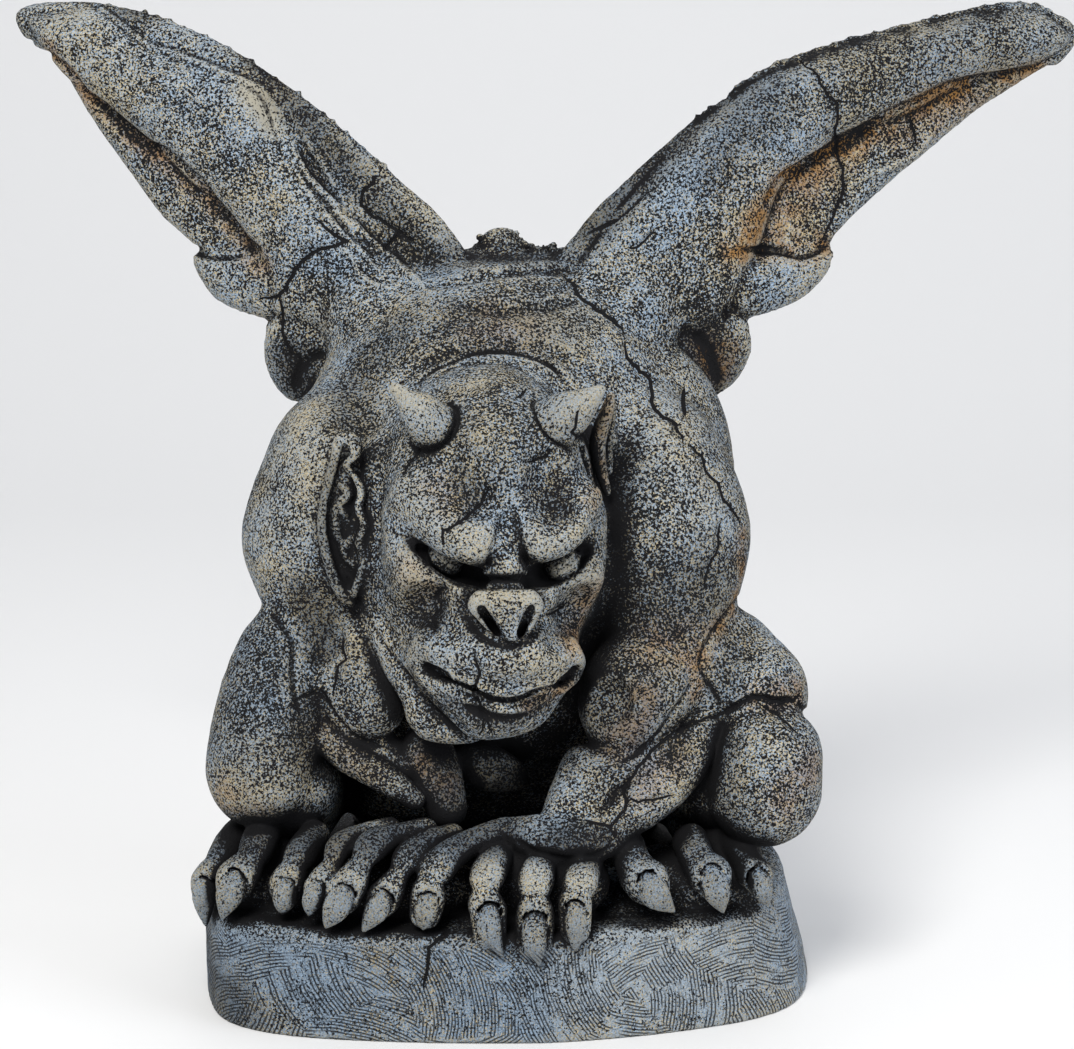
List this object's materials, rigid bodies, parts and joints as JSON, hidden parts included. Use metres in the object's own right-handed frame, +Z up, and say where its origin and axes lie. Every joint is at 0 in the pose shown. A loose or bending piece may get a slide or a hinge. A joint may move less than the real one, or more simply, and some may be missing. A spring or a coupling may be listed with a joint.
{
  "type": "crouching gargoyle statue",
  "caption": "Winged, horned gargoyle crouching with its hands and clawed feet on the edge of a low rough block, cast in one piece in stone.",
  "frame": {"origin": "middle of the flat underside of the block", "axes": "+Z up, -Y the way the figure faces, +X to the right of a viewer who faces it"},
  "size_m": [0.528, 0.2464, 0.464],
  "materials": {
    "stone": "pitted cast stone, weathered, with a dark patina in its hollows"
  },
  "bodies": {
    "root": {"gargoyle_with_block": "stone"}
  },
  "joints": []
}
